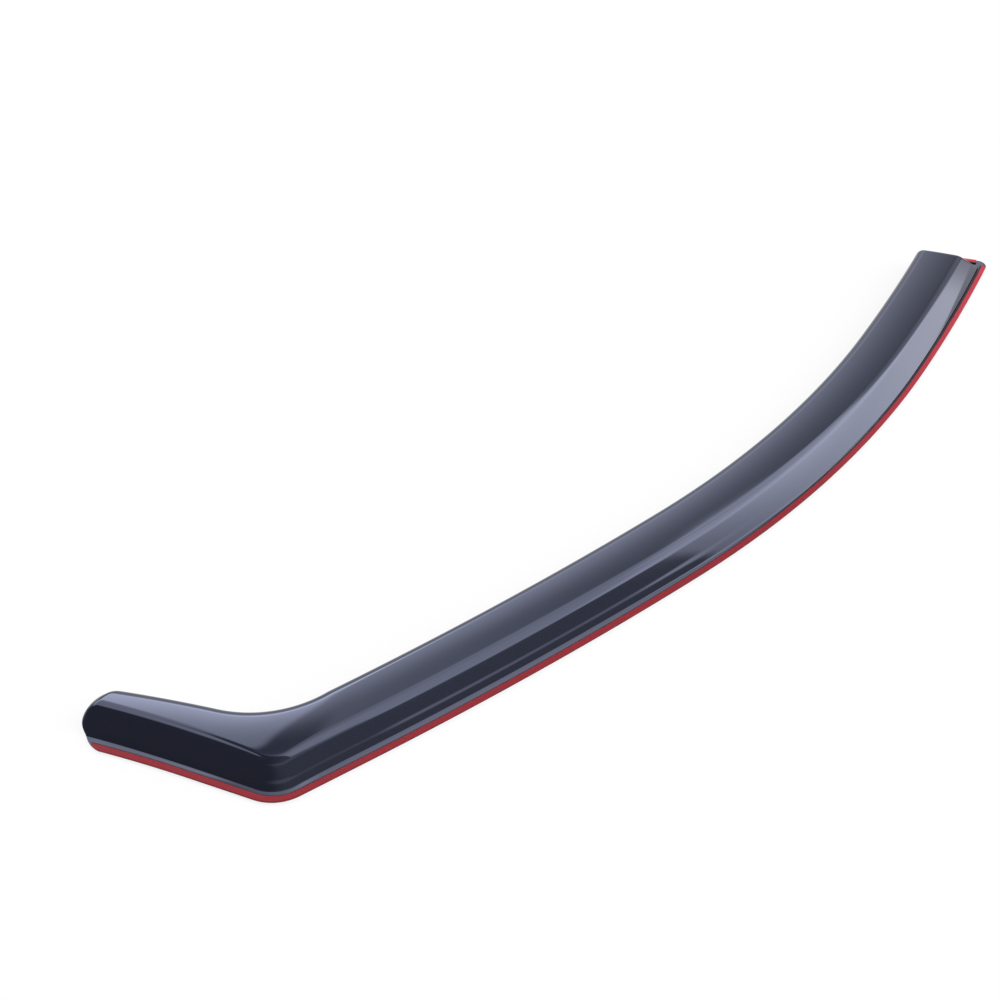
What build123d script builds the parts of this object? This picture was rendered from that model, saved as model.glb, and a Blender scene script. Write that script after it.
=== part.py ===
from build123d import *
import os
from math import atan, atan2, cos, degrees, radians, sin, sqrt, tan

# Window rain deflector for a front door: one moulded acrylic hood with a flat flange,
# and two strips of foam tape on the flange, each still under its release liner.
# Frame: the flange lies flat on z = 0 with the outer face up. The origin is on the
# flange's underside, half way across it, where the arm starts after the corner.

# Flange outline seen from above: leg, corner and arm
leg_length = 103.0            # curved part of the leg, up to its rounded end
leg_bow_radius = 1225.0       # the leg bows outwards
corner_radius = 44.0
corner_turn = 52.0
sweep_radius = 170.0          # from the corner's turning centre to the straight edges beside it
arm_heading = -5.0            # direction in which the arm starts
arm_front_length = 360.0
arm_front_radius = 3800.0
arm_middle_length = 392.0
arm_middle_radius = 1125.0
arm_rear_length = 212.0
arm_rear_radius = 2500.0

# Overall width, from the flange's outer edge to the free edge
leg_end_width = 47.0
leg_width = 58.5
arm_start_width = 67.5
arm_bend_width = 70.4         # where the arm's front ends and its tighter bend begins
arm_width = 72.5

# Cross-section
wall = 2.4
height = 28.0
flange_thickness = 2.0
flange_width = 12.0           # outer edge to the foot of the step
flange_edge_land = 0.4        # left at the edge above the lead-in bevel
step_angle = 60.0             # slope of the step from the flange up to the hood
toe_radius = 3.0
shoulder_radius = 12.0
crown_radius = 320.0
lip_radius = 8.0
lip_depth = 15.0              # from the top of the hood down to the free edge

# Ends
rear_skew = 15.0              # the rear edge leans forward towards the free edge
rear_flange_width = 14.0
rear_corner_radius = 9.0
rear_round = 2.5              # where the hood turns down to the rear flange
leg_end_relief = 0.4          # the leg's end arc is this much wider than half the leg

# Foam tape and its release liner
tape_width = 6.35
tape_thickness = 0.8
tape_leg_margin = 12.0        # from the end of the leg
rear_tape_margin = 2.0        # from the rounded corner and from the inner end of the rear flange
liner_thickness = 0.15
liner_overhang = 0.3

# Overlaps where shapes of the one moulding join, and overruns of the shapes that trim it
toe_sink = 0.3
trim_overrun = 2.0

# Sections along the hood
leg_sections = 4
corner_sections = 12
arm_sections = 4

# Worked out from the sizes above
half_turn = radians(corner_turn / 2)
corner_run = (sweep_radius - corner_radius) * tan(half_turn)
flange_bevel = flange_thickness - flange_edge_land
seat_inset = (flange_bevel + flange_width) / 2
slope = radians(step_angle)
toe_level = flange_thickness - toe_sink
toe_reach = toe_radius * tan(slope / 2)
wall_across = wall / sin(slope)
flange_inner = flange_width + wall_across - flange_thickness / tan(slope)
leg_taper = (leg_width - leg_end_width) / leg_length
leg_end_radius = (leg_end_width / 2 + leg_end_relief) / (1 - leg_taper / 2)
tape_top = flange_thickness + tape_thickness
rear_lean = radians(rear_skew)
rear_corner_run = rear_corner_radius / tan(radians(90 - rear_skew) / 2)
rear_end_length = rear_flange_width + arm_width * tan(rear_lean) + height / tan(slope) + shoulder_radius
arm_direction = Vector(1, 0, 0).rotate(Axis.Z, arm_heading)
arm_inward = arm_direction.rotate(Axis.Z, 90)
arm_start = arm_inward * -seat_inset
turning_centre = arm_start + arm_inward * sweep_radius


def leg_rail(inset, length=leg_length):
    # Line parallel to the flange's outer edge, from the arm's start back along the leg
    start = arm_start + arm_inward * inset
    with BuildLine(mode=Mode.PRIVATE):
        beside_arm = Line(start, start - arm_direction * corner_run)
        corner = JernArc(beside_arm @ 1, beside_arm % 1, corner_radius - inset, -corner_turn)
        beside_leg = Line(corner @ 1, corner @ 1 + (corner % 1) * corner_run)
        turn = degrees(length / leg_bow_radius)
        leg = JernArc(beside_leg @ 1, beside_leg % 1, leg_bow_radius + inset, turn)
    return [beside_arm, corner, beside_leg, leg]


def arm_rail(inset, trim=0.0):
    # Line parallel to the flange's outer edge, from the arm's start to the rear end
    start = arm_start + arm_inward * inset
    front_turn = degrees(arm_front_length / arm_front_radius)
    middle_turn = degrees(arm_middle_length / arm_middle_radius)
    rear_turn = degrees((arm_rear_length - trim) / arm_rear_radius)
    with BuildLine(mode=Mode.PRIVATE):
        front = JernArc(start, arm_direction, arm_front_radius - inset, front_turn)
        middle = JernArc(front @ 1, front % 1, arm_middle_radius - inset, middle_turn)
        rear = JernArc(middle @ 1, middle % 1, arm_rear_radius - inset, rear_turn)
    return [front, middle, rear]


def band(outer, inner, leg_end=leg_length, rear_trim=0.0):
    # Plan of a strip along the flange, between two lines parallel to its outer edge
    outer_edges = leg_rail(outer, leg_end) + arm_rail(outer, rear_trim)
    inner_edges = leg_rail(inner, leg_end) + arm_rail(inner, rear_trim)
    with BuildSketch(mode=Mode.PRIVATE) as plan:
        with BuildLine():
            add(outer_edges)
            add(inner_edges)
            Line(outer_edges[3] @ 1, inner_edges[3] @ 1)
            Line(outer_edges[-1] @ 1, inner_edges[-1] @ 1)
        make_face()
    return plan.sketch


def corner_distance(turn, inset):
    # From the turning centre to a line parallel to the outer edge, at a turn from the arm
    off_middle = abs(radians(turn) - half_turn)
    off_normal = half_turn - off_middle
    if off_normal <= atan(corner_run / (sweep_radius - inset)):
        return (sweep_radius - inset) / cos(off_normal)
    middle = (sweep_radius - corner_radius) / cos(half_turn)
    return middle * cos(off_middle) + sqrt((corner_radius - inset) ** 2 - (middle * sin(off_middle)) ** 2)


def station(point, heading, foot, width):
    inward = heading.rotate(Axis.Z, 90)
    return Plane(origin=point, x_dir=inward, z_dir=heading), foot, width


def hood_stations():
    # Where the hood's sections stand: plane, distance of the step's foot, and overall width
    found = []
    leg = leg_rail(0)[3]
    for number in range(leg_sections):
        place = 1 - number / leg_sections
        width = leg_width - leg_taper * leg_length * place
        found.append(station(leg @ place, -(leg % place), flange_width, width))
    for number in range(corner_sections + 1):
        turn = corner_turn * (1 - number / corner_sections)
        heading = arm_direction.rotate(Axis.Z, -turn)
        outer = corner_distance(turn, 0)
        foot = outer - corner_distance(turn, flange_width)
        side_width = arm_start_width + (leg_width - arm_start_width) * turn / corner_turn
        point = turning_centre + heading.rotate(Axis.Z, -90) * outer
        found.append(station(point, heading, foot, outer - sweep_radius + side_width))
    widths = (arm_start_width, arm_bend_width, arm_width, arm_width)
    for bend, line in enumerate(arm_rail(0, rear_end_length)):
        for number in range(1, arm_sections + 1):
            place = number / arm_sections
            width = widths[bend] + (widths[bend + 1] - widths[bend]) * place
            found.append(station(line @ place, line % place, flange_width, width))
    return found


def hood_points(foot, width, inset):
    # Corners and arc middles of the hood's outer line, or of a line inset from it
    crown_centre = Vector(width - lip_radius, height - crown_radius)
    lip_centre = Vector(width - lip_radius, height - lip_radius)
    up_step = Vector(cos(slope), sin(slope))
    into_step = Vector(sin(slope), -cos(slope))
    from_crown = Vector(foot, toe_level) + into_step * shoulder_radius - crown_centre
    along = from_crown.dot(up_step)
    reach = (crown_radius - shoulder_radius) ** 2 - from_crown.dot(from_crown)
    shoulder_centre = crown_centre + from_crown + up_step * (sqrt(along**2 + reach) - along)
    crown_angle = atan2(shoulder_centre.Y - crown_centre.Y, shoulder_centre.X - crown_centre.X)
    step_normal = slope + radians(90)

    def around(centre, radius, angle):
        return centre + Vector(cos(angle), sin(angle)) * (radius - inset)

    return {
        "step_top": around(shoulder_centre, shoulder_radius, step_normal),
        "shoulder": around(shoulder_centre, shoulder_radius, (step_normal + crown_angle) / 2),
        "crown_start": around(crown_centre, crown_radius, crown_angle),
        "crown": around(crown_centre, crown_radius, (crown_angle + radians(90)) / 2),
        "lip_start": around(lip_centre, lip_radius, radians(90)),
        "lip": around(lip_centre, lip_radius, radians(45)),
        "lip_side": around(lip_centre, lip_radius, 0.0),
    }


def toe_edges(foot):
    # Hollow fillet where the flange turns up into the step
    toe_start = Vector(foot - toe_reach, toe_level)
    toe_middle = toe_start + Vector(sin(slope / 2), 1 - cos(slope / 2)) * toe_radius
    toe_end = Vector(foot + toe_reach * cos(slope), toe_level + toe_reach * sin(slope))
    return toe_start, toe_middle, toe_end


def shell_section(plane, foot, width):
    # Closed section of the hood's wall, from the foot of the step to the free edge
    outer = hood_points(foot, width, 0.0)
    inner = hood_points(foot, width, wall)
    toe = toe_edges(foot)
    root = Vector(toe[0].X, toe_sink)
    heel = Vector(foot + wall_across - (toe_level - toe_sink) / tan(slope), toe_sink)
    free_edge = Vector(width, height - lip_depth)
    free_edge_inside = Vector(width - wall, height - lip_depth)
    with BuildSketch(plane, mode=Mode.PRIVATE) as section:
        with BuildLine():
            Line(root, toe[0])
            ThreePointArc(*toe)
            Line(toe[2], outer["step_top"])
            ThreePointArc(outer["step_top"], outer["shoulder"], outer["crown_start"])
            ThreePointArc(outer["crown_start"], outer["crown"], outer["lip_start"])
            ThreePointArc(outer["lip_start"], outer["lip"], outer["lip_side"])
            Line(outer["lip_side"], free_edge)
            Line(free_edge, free_edge_inside)
            Line(free_edge_inside, inner["lip_side"])
            ThreePointArc(inner["lip_side"], inner["lip"], inner["lip_start"])
            ThreePointArc(inner["lip_start"], inner["crown"], inner["crown_start"])
            ThreePointArc(inner["crown_start"], inner["shoulder"], inner["step_top"])
            Line(inner["step_top"], heel)
            Line(heel, root)
        make_face()
    return section.sketch


def block_section(plane, foot, width):
    # Everything under the hood's outer line
    outer = hood_points(foot, width, 0.0)
    toe = toe_edges(foot)
    root = Vector(toe[0].X, toe_sink)
    base = Vector(width, toe_sink)
    with BuildSketch(plane, mode=Mode.PRIVATE) as section:
        with BuildLine():
            Line(root, toe[0])
            ThreePointArc(*toe)
            Line(toe[2], outer["step_top"])
            ThreePointArc(outer["step_top"], outer["shoulder"], outer["crown_start"])
            ThreePointArc(outer["crown_start"], outer["crown"], outer["lip_start"])
            ThreePointArc(outer["lip_start"], outer["lip"], outer["lip_side"])
            Line(outer["lip_side"], base)
            Line(base, root)
        make_face()
    return section.sketch


def core_section(plane, foot, width):
    # Everything under the hood's inner line and under the free edge
    inner = hood_points(foot, width, wall)
    floor = toe_sink - trim_overrun
    heel = Vector(foot + wall_across - (toe_level - floor) / tan(slope), floor)
    free_edge_inside = Vector(width - wall, height - lip_depth)
    free_edge_beyond = Vector(width + trim_overrun, height - lip_depth)
    base = Vector(width + trim_overrun, floor)
    with BuildSketch(plane, mode=Mode.PRIVATE) as section:
        with BuildLine():
            Line(heel, inner["step_top"])
            ThreePointArc(inner["step_top"], inner["shoulder"], inner["crown_start"])
            ThreePointArc(inner["crown_start"], inner["crown"], inner["lip_start"])
            ThreePointArc(inner["lip_start"], inner["lip"], inner["lip_side"])
            Line(inner["lip_side"], free_edge_inside)
            Line(free_edge_inside, free_edge_beyond)
            Line(free_edge_beyond, base)
            Line(base, heel)
        make_face()
    return section.sketch


def rear_station(distance):
    # Where a section stands at a distance before the rear end of the arm
    rear = arm_rail(0, distance)[2]
    return station(rear @ 1, rear % 1, flange_width, arm_width)


# Rear end and leg end
stations = hood_stations()
rear_line = arm_rail(0)[2]
rear_point = rear_line @ 1
rear_inward = (rear_line % 1).rotate(Axis.Z, 90)
rear_axis = Axis(rear_point + rear_inward * arm_rear_radius, (0, 0, 1))
rear_facing = (rear_line % 1).rotate(Axis.Z, rear_skew)
rear_plan = Plane(origin=rear_point, x_dir=rear_facing, z_dir=(0, 0, 1))
rear_slant = Plane(
    origin=rear_point - rear_facing * rear_flange_width + Vector(0, 0, flange_thickness),
    z_dir=rear_facing * sin(slope) + Vector(0, 0, cos(slope)),
)
rear_strip_depth = rear_flange_width + wall_across / 2
rear_strip_width = (arm_width - lip_radius) / cos(rear_lean)
leg_line = leg_rail(0)[3]
leg_end_place = 1 - leg_end_radius / leg_length
leg_end_back = leg_line % leg_end_place
leg_end_inward = leg_end_back.rotate(Axis.Z, -90)
leg_end_middle = leg_line @ leg_end_place + leg_end_inward * (leg_end_radius - leg_end_relief)
leg_end_plan = Plane(origin=leg_end_middle, x_dir=leg_end_back, z_dir=(0, 0, 1))


def leg_end_trim(overhang=0.0):
    # What lies outside the rounded end of the leg, in plan
    with BuildSketch(leg_end_plan, mode=Mode.PRIVATE) as trim:
        Rectangle(2 * leg_end_radius, 2 * leg_width, align=(Align.MIN, Align.CENTER))
        Circle(leg_end_radius + overhang, mode=Mode.SUBTRACT)
    return trim.sketch


def rear_strip(start, end, depth, overhang=0.0):
    # Strip along the rear edge of the flange, in plan
    with BuildSketch(rear_plan, mode=Mode.PRIVATE) as strip:
        with Locations((-depth / 2, (start + end) / 2)):
            Rectangle(depth + 2 * overhang, end - start + 2 * overhang)
    return strip.sketch


def rear_trim():
    # What lies behind the rear edge, in plan
    with BuildSketch(rear_plan, mode=Mode.PRIVATE) as trim:
        Rectangle(arm_width, 2 * arm_width, align=(Align.MIN, Align.CENTER))
    return trim.sketch


# Flat flange along the leg, the corner, the arm and the rear end
with BuildPart() as flange:
    with BuildSketch():
        add(band(0, flange_inner))
        add(rear_strip(0, rear_strip_width, rear_strip_depth))
        add(rear_trim(), mode=Mode.SUBTRACT)
        fillet(vertices().sort_by_distance(rear_point)[0], rear_corner_radius)
        add(leg_end_trim(), mode=Mode.SUBTRACT)
    extrude(amount=flange_thickness)
    outer_corner = leg_rail(0)[1] @ 0.5
    chamfer(edges().group_by(Axis.Z)[0].sort_by_distance(outer_corner)[0], flange_bevel)

# Space under the rear end of the hood
with BuildPart() as rear_core:
    core_length = rear_end_length + trim_overrun
    core = core_section(*rear_station(core_length))
    revolve(core, axis=rear_axis, revolution_arc=degrees(core_length / arm_rear_radius))
    split(bisect_by=rear_slant.offset(-wall), keep=Keep.BOTTOM)

# Rear end of the hood, closed by a sloping wall
with BuildPart() as rear_end:
    block = block_section(*rear_station(rear_end_length))
    revolve(block, axis=rear_axis, revolution_arc=degrees(rear_end_length / arm_rear_radius))
    split(bisect_by=rear_slant, keep=Keep.BOTTOM)
    rear_face = faces().filter_by(rear_slant)[0]
    fillet(rear_face.edges().sort_by(Axis.Z)[-1], rear_round)
    add(rear_core.part, mode=Mode.SUBTRACT)

# The moulding: hood, rear end and flange in one piece
with BuildPart() as visor:
    loft([shell_section(*place) for place in stations])
    extrude(leg_end_trim(), amount=2 * height, mode=Mode.SUBTRACT)
    add(rear_end.part)
    add(flange.part)

# Foam tape along the leg, the corner and the arm, under its liner
tape_leg_end = leg_length - tape_leg_margin
with BuildPart() as long_tape:
    with BuildSketch(Plane.XY.offset(flange_thickness)):
        add(band(0, tape_width, tape_leg_end, rear_corner_run))
        add(leg_end_trim(), mode=Mode.SUBTRACT)
    extrude(amount=tape_thickness)

with BuildPart() as long_liner:
    with BuildSketch(Plane.XY.offset(tape_top)):
        liner_leg_end = tape_leg_end + liner_overhang
        liner_rear_trim = rear_corner_run - liner_overhang
        add(band(-liner_overhang, tape_width + liner_overhang, liner_leg_end, liner_rear_trim))
        add(leg_end_trim(liner_overhang), mode=Mode.SUBTRACT)
    extrude(amount=liner_thickness)

# Short foam tape on the rear flange, under its liner
rear_tape_start = rear_corner_run + rear_tape_margin
rear_tape_end = rear_strip_width - rear_tape_margin
with BuildPart() as rear_tape:
    with BuildSketch(Plane.XY.offset(flange_thickness)):
        add(rear_strip(rear_tape_start, rear_tape_end, tape_width))
    extrude(amount=tape_thickness)

with BuildPart() as rear_liner:
    with BuildSketch(Plane.XY.offset(tape_top)):
        add(rear_strip(rear_tape_start, rear_tape_end, tape_width, liner_overhang))
    extrude(amount=liner_thickness)

# Written out, one file for each piece
pieces = {
    "visor": visor,
    "long_tape": long_tape,
    "long_tape_liner": long_liner,
    "rear_tape": rear_tape,
    "rear_tape_liner": rear_liner,
}
os.makedirs("parts", exist_ok=True)
for name, piece in pieces.items():
    piece.part.label = name
    export_step(piece.part, f"parts/{name}.step")
    print(name, round(piece.part.volume, 1), "mm3")
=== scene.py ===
from functools import lru_cache, partial
from math import atan, cos, degrees, pi, radians, sin, sqrt, tan

import bpy
import numpy as np
from mathutils import Matrix, Vector, noise


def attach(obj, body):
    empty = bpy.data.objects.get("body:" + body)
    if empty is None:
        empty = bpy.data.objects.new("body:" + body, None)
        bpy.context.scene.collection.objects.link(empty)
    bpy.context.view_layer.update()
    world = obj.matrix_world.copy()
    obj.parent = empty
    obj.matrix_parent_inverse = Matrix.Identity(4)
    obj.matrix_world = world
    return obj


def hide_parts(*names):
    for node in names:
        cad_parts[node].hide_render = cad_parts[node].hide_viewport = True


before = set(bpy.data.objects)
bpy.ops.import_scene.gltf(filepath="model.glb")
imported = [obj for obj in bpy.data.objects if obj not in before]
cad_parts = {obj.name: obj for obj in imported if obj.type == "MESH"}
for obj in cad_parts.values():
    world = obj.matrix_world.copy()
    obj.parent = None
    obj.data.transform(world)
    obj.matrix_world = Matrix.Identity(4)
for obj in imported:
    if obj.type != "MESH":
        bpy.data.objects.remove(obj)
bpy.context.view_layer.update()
scene = bpy.context.scene
scene.view_settings.view_transform = "Standard"
up = Vector((0, 0, 1))
print("frame loaded:", sorted(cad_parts))

# Flange outline seen from above, metres and degrees
plan = {
    "legLength": 0.103,
    "legBow": 1.225,
    "cornerRadius": 0.044,
    "cornerTurn": 52.0,
    "cornerSpan": 0.163,        # length given to the corner along the run
    "sweepRadius": 0.170,
    "armHeading": -5.0,
    "armStretches": ((0.360, 3.8), (0.392, 1.125), (0.212, 2.5)),  # length, bend radius
    "seatInset": 0.0068,        # from the outer edge to the frame's origin
}
armLength = sum(length for length, radius in plan["armStretches"])
halfTurn = radians(plan["cornerTurn"] / 2)
cornerRun = (plan["sweepRadius"] - plan["cornerRadius"]) * tan(halfTurn)


def turned(vector, angle):
    return Matrix.Rotation(radians(angle), 3, "Z") @ vector


def followBend(start, heading, length, radius):
    angle = length / radius
    left = turned(heading, 90)
    point = start + heading * (radius * sin(angle)) + left * (radius * (1 - cos(angle)))
    return point, turned(heading, degrees(angle))


armDirection = turned(Vector((1, 0, 0)), plan["armHeading"])
armStart = turned(armDirection, -90) * plan["seatInset"]
turningCentre = armStart + turned(armDirection, 90) * plan["sweepRadius"]


def cornerDistance(turn, inset):
    # From the turning centre to the edge, or to a line inset from it
    offMiddle = abs(radians(turn) - halfTurn)
    offNormal = halfTurn - offMiddle
    reach = plan["sweepRadius"] - inset
    if offNormal <= atan(cornerRun / reach):  # straight edge beside the corner
        return reach / cos(offNormal)
    middle = (plan["sweepRadius"] - plan["cornerRadius"]) / cos(halfTurn)
    aside = middle * sin(offMiddle)
    return middle * cos(offMiddle) + sqrt((plan["cornerRadius"] - inset) ** 2 - aside ** 2)


# The run goes from the leg's end (below zero) over the corner to the arm (above zero)
def cornerTurnAt(run):
    return -run / plan["cornerSpan"] * plan["cornerTurn"]


def edgeAt(run, inset=0.0):
    # Point on the flange's edge and heading there
    if run >= 0:
        point, heading, left = armStart, armDirection, run
        for length, radius in plan["armStretches"]:
            isLast = (length, radius) == plan["armStretches"][-1]
            step = left if isLast else min(left, length)
            point, heading = followBend(point, heading, step, radius)
            left -= step
            if left <= 0:
                break
        return point + turned(heading, 90) * inset, heading
    if run >= -plan["cornerSpan"]:
        turn = cornerTurnAt(run)
        heading = turned(armDirection, -turn)
        return turningCentre + turned(heading, -90) * cornerDistance(turn, inset), heading
    heading = turned(armDirection, -plan["cornerTurn"])
    start = turningCentre + turned(heading, -90) * plan["sweepRadius"]
    point, back = followBend(start, -heading, -run - plan["cornerSpan"], plan["legBow"])
    return point + turned(-back, 90) * inset, -back


# Hood section, metres and degrees
hood = {
    "legEndWidth": 0.047,
    "legWidth": 0.0585,
    "armStartWidth": 0.0675,
    "armBendWidth": 0.0704,
    "armWidth": 0.0725,
    "wall": 0.0024,
    "height": 0.028,
    "flangeThickness": 0.002,
    "flangeWidth": 0.012,
    "flangeBevel": 0.0016,
    "flangeEdgeRound": 0.0003,
    "toeSink": 0.0003,
    "innerToe": 0.0001,         # height of the inside's first points
    "stepAngle": 60.0,
    "stepTopAngle": 57.0,       # the step bulges a little and is flatter below the shoulder
    "rearTopAngle": 47.8,       # more so towards the rear end
    "toeShift": 0.0009,         # its foot comes closer to the tape
    "rearToeShift": 0.0052,
    "slantShift": 0.011,        # and where the section lies askew in the corner
    "ledge": 0.00028,           # faint ledge low on the step
    "ledgeTop": 0.24,           # shares of the step: where it starts to end, and how softly
    "ledgeBlend": 0.20,
    "ledgeFade": 1.5,           # it runs out before the rear end
    "toeRadius": 0.001,
    "shoulderRadius": 0.012,
    "crownRadius": 0.320,
    "lipRadius": 0.008,
    "lipDepth": 0.015,
    "rearSkew": 15.0,
    "rearFlange": 0.014,
    "rearCorner": 0.009,
    "rearRound": 0.0026,
    "rearLipRound": 0.007,
    "rearToeRound": 0.3,        # share of the rounding left at the toe
    "legEndRelief": 0.0004,
    "legEndRound": 0.007,       # the hood's top bends down over the leg's end
}
# Where along the run the step takes the rear end's form, metres
stepChange = {
    "rearFrom": 0.20,
    "rearOver": 0.46,
    "cornerShare": 0.25,        # a little of it where the leg meets the corner
    "cornerFrom": -0.27,
    "cornerRise": 0.09,
    "cornerTo": -0.05,
    "cornerFall": 0.08,
}
slope = radians(hood["stepAngle"])
wallAcross = hood["wall"] / sin(slope)
legTaper = (hood["legWidth"] - hood["legEndWidth"]) / plan["legLength"]
legEndRadius = (hood["legEndWidth"] / 2 + hood["legEndRelief"]) / (1 - legTaper / 2)


def plainWidth(run):
    if run < -plan["cornerSpan"]:
        return hood["legWidth"] + legTaper * (run + plan["cornerSpan"])
    if run < 0:
        turn = cornerTurnAt(run)
        side = hood["armStartWidth"] + (hood["legWidth"] - hood["armStartWidth"]) * turn / plan["cornerTurn"]
        return cornerDistance(turn, 0) - plan["sweepRadius"] + side
    front, bend = plan["armStretches"][0][0], plan["armStretches"][1][0]
    width = hood["armStartWidth"] + (hood["armBendWidth"] - hood["armStartWidth"]) * min(1, run / front)
    return width + (hood["armWidth"] - hood["armBendWidth"]) * max(0, min(1, (run - front) / bend))


def eased(share):
    share = np.clip(share, 0, 1)
    return share * share * (3 - 2 * share)


def rearShare(run):
    nearCorner = eased((run - stepChange["cornerFrom"]) / stepChange["cornerRise"])
    nearCorner = nearCorner * eased((stepChange["cornerTo"] - run) / stepChange["cornerFall"])
    nearRear = eased((run - stepChange["rearFrom"]) / stepChange["rearOver"])
    return nearRear + stepChange["cornerShare"] * nearCorner


@lru_cache(maxsize=None)
def spotAt(run):
    # Everything a section needs to know of its place: the last four values shape it
    point, heading = edgeAt(run)
    foot, slant = hood["flangeWidth"], 0.0
    if -plan["cornerSpan"] <= run < 0:
        turn = cornerTurnAt(run)
        foot = cornerDistance(turn, 0) - cornerDistance(turn, hood["flangeWidth"])
        slant = foot / hood["flangeWidth"] - 1  # how far the section lies askew to the edge
    foot += hood["toeSink"] / tan(slope)
    return point, heading, turned(heading, 90), foot, plainWidth(run), rearShare(run), slant


# Points along the section: toe, step, shoulder, crown, lip, side
sectionCounts = {"toe": 8, "step": 26, "shoulder": 26, "crown": 30, "lip": 16, "side": 4}
sectionSize = sum(sectionCounts.values())
edgeCount = 5                   # points round the free edge
loopSize = 2 * sectionSize + edgeCount


def sectionSlices():
    start, found = 0, {}
    for name, count in sectionCounts.items():
        found[name] = slice(start, start + count)
        start += count
    return found


slices = sectionSlices()


def sharesOf(name):
    # From just past the part's start to its end; the toe alone has a point at its start
    if name == "toe":
        return np.linspace(0, 1, sectionCounts[name])
    return np.linspace(0, 1, sectionCounts[name] + 1)[1:]


def shoulderCentre(foot, width):
    # The shoulder's arc touches the step's slope and the crown
    shoulder = hood["shoulderRadius"]
    crownX, crownZ = width - hood["lipRadius"], hood["height"] - hood["crownRadius"]
    fromX = foot + sin(slope) * shoulder - crownX
    fromZ = hood["flangeThickness"] - cos(slope) * shoulder - crownZ
    along = fromX * cos(slope) + fromZ * sin(slope)
    reach = (hood["crownRadius"] - shoulder) ** 2 - fromX ** 2 - fromZ ** 2
    climb = np.sqrt(along ** 2 + reach) - along
    return crownX + fromX + cos(slope) * climb, crownZ + fromZ + sin(slope) * climb


def outerStep(foot, rear, slant, endX, endZ, high):
    # Rounded toe, then one even bend up to the shoulder: points and angles of the normals
    level, toe = hood["flangeThickness"], hood["toeRadius"]
    start = foot - hood["toeShift"] - (hood["rearToeShift"] - hood["toeShift"]) * rear
    start = start - hood["slantShift"] * slant
    low = np.full(sectionSize, slope)
    for _ in range(3):  # settles the slope at the foot
        lowX = start + toe * (np.sin(low) - np.tan(low / 2))
        lowZ = level + toe * (1 - np.cos(low))
        low = 2 * np.arctan2(endZ - lowZ, endX - lowX) - high
    ledge = hood["ledge"] * (1 - eased(rear * hood["ledgeFade"]))

    here = slices["toe"]
    angle = sharesOf("toe") * low[here]
    toeX = start[here] - ledge[here] + toe * (np.sin(angle) - np.tan(low[here] / 2))
    toePart = toeX, level + toe * (1 - np.cos(angle)), angle + pi / 2

    here, share = slices["step"], sharesOf("step")
    length = np.hypot(endX - lowX, endZ - lowZ)[here] / 2 / np.cos((low - high)[here] / 2)
    bendX, bendZ = lowX[here] + length * np.cos(low[here]), lowZ[here] + length * np.sin(low[here])

    def bent(first, middle, last):
        return first * (1 - share) ** 2 + middle * 2 * share * (1 - share) + last * share ** 2

    ledge = ledge[here] * (1 - eased((share - hood["ledgeTop"]) / hood["ledgeBlend"]))
    stepX, stepZ = bent(lowX[here], bendX, endX[here]) - ledge, bent(lowZ[here], bendZ, endZ[here])
    return toePart, (stepX, stepZ, low[here] + (high - low)[here] * share + pi / 2)


def innerStep(foot, endX, endZ, stepNormal):
    # The inside runs straight down to the flange
    lowZ = hood["toeSink"]
    lowX = foot + wallAcross - (hood["flangeThickness"] - lowZ) / tan(slope)
    here, rise = slices["toe"], sharesOf("toe") * hood["innerToe"]
    toePart = lowX[here] + rise / tan(slope), lowZ + rise, stepNormal[here]
    here, share = slices["step"], sharesOf("step")
    stepX, stepZ = lowX[here] + (endX - lowX)[here] * share, lowZ + (endZ[here] - lowZ) * share
    return toePart, (stepX, stepZ, stepNormal[here])


def hoodLine(foot, width, rear, slant, inset):
    # Points (across, up) and normals of the outer line, or of a line inset from it
    across, height, normalAcross, normalUp = (np.zeros(sectionSize) for _ in range(4))
    top, crown, lip, shoulder = hood["height"], hood["crownRadius"], hood["lipRadius"], hood["shoulderRadius"]
    crownX, crownZ = width - lip, top - crown
    shoulderX, shoulderZ = shoulderCentre(foot, width)
    crownAngle = np.arctan2(shoulderZ - crownZ, shoulderX - crownX)
    high = np.full(sectionSize, slope)
    if inset == 0:
        high = np.radians(hood["stepTopAngle"] + (hood["rearTopAngle"] - hood["stepTopAngle"]) * rear)
        high = np.arctan(np.tan(high) / (1 + slant))
    stepNormal = high + pi / 2
    endX = shoulderX + np.cos(stepNormal) * (shoulder - inset)
    endZ = shoulderZ + np.sin(stepNormal) * (shoulder - inset)

    def put(name, x, z, angle):
        here = slices[name]
        across[here], height[here] = x, z
        normalAcross[here], normalUp[here] = np.cos(angle), np.sin(angle)

    def putArc(name, centreX, centreZ, radius, angle):
        reach = radius - inset
        put(name, centreX + reach * np.cos(angle), centreZ + reach * np.sin(angle), angle)

    if inset == 0:
        toePart, stepPart = outerStep(foot, rear, slant, endX, endZ, high)
    else:
        toePart, stepPart = innerStep(foot, endX, endZ, stepNormal)
    put("toe", *toePart)
    put("step", *stepPart)
    here = slices["shoulder"]
    angle = stepNormal[here] + (crownAngle[here] - stepNormal[here]) * sharesOf("shoulder")
    putArc("shoulder", shoulderX[here], shoulderZ[here], shoulder, angle)
    here = slices["crown"]
    angle = crownAngle[here] + (pi / 2 - crownAngle[here]) * sharesOf("crown")
    putArc("crown", crownX[here], crownZ, crown, angle)
    putArc("lip", crownX[slices["lip"]], top - lip, lip, pi / 2 * (1 - sharesOf("lip")))
    drop = hood["lipDepth"] - lip - hood["wall"] / 2
    put("side", width[slices["side"]] - inset, top - lip - drop * sharesOf("side"), 0.0)
    return across, height, normalAcross, normalUp


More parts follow.
